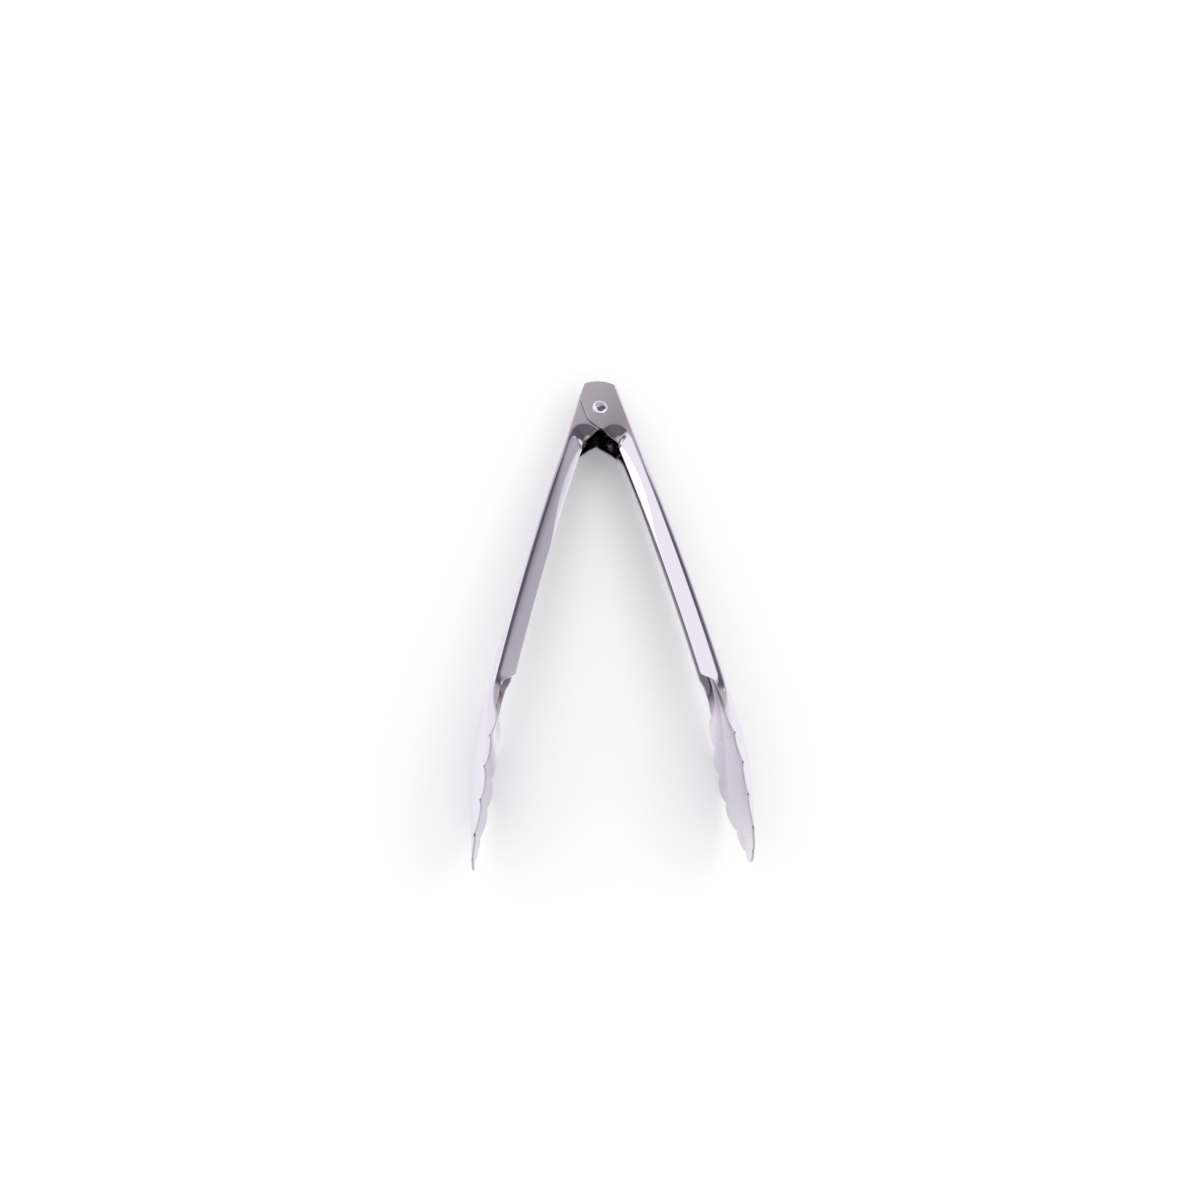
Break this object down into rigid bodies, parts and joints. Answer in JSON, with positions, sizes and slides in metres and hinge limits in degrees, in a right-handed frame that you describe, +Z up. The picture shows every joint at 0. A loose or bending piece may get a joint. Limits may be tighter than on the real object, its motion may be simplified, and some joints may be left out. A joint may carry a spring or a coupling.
{
  "type": "spring loaded kitchen tongs",
  "caption": "Spring loaded kitchen tongs of pressed polished steel: channel handles on a riveted hinge, scalloped scoop claws, lying open on one side.",
  "frame": {"origin": "on the table under the middle of the bounding box, with the tongs lying open on one side", "axes": "+Y towards the hinge, -Y towards the claw tips, +X across the opening towards the outer arm, +Z up from the table"},
  "size_m": [0.1174, 0.2376, 0.0387],
  "materials": {
    "polished_arm": "mirror polished stainless steel sheet",
    "rivet_steel": "polished stainless steel rivet",
    "spring_wire": "drawn stainless steel wire"
  },
  "bodies": {
    "outer_arm_body": {"outer_arm": "polished_arm", "pivot_rivet": "rivet_steel", "torsion_spring": "spring_wire"},
    "inner_arm_body": {"inner_arm": "polished_arm"}
  },
  "joints": [
    {"name": "jaw_pivot", "type": "hinge", "parent": "outer_arm_body", "child": "inner_arm_body", "pos_m": [0, 0.10143, 0.01094], "axis": [0, 0.0452, 0.999], "range_deg": [0, 28], "stiffness_Nm_per_rad": 0.6, "springref_deg": -28.65, "deforming": ["torsion_spring"]}
  ]
}
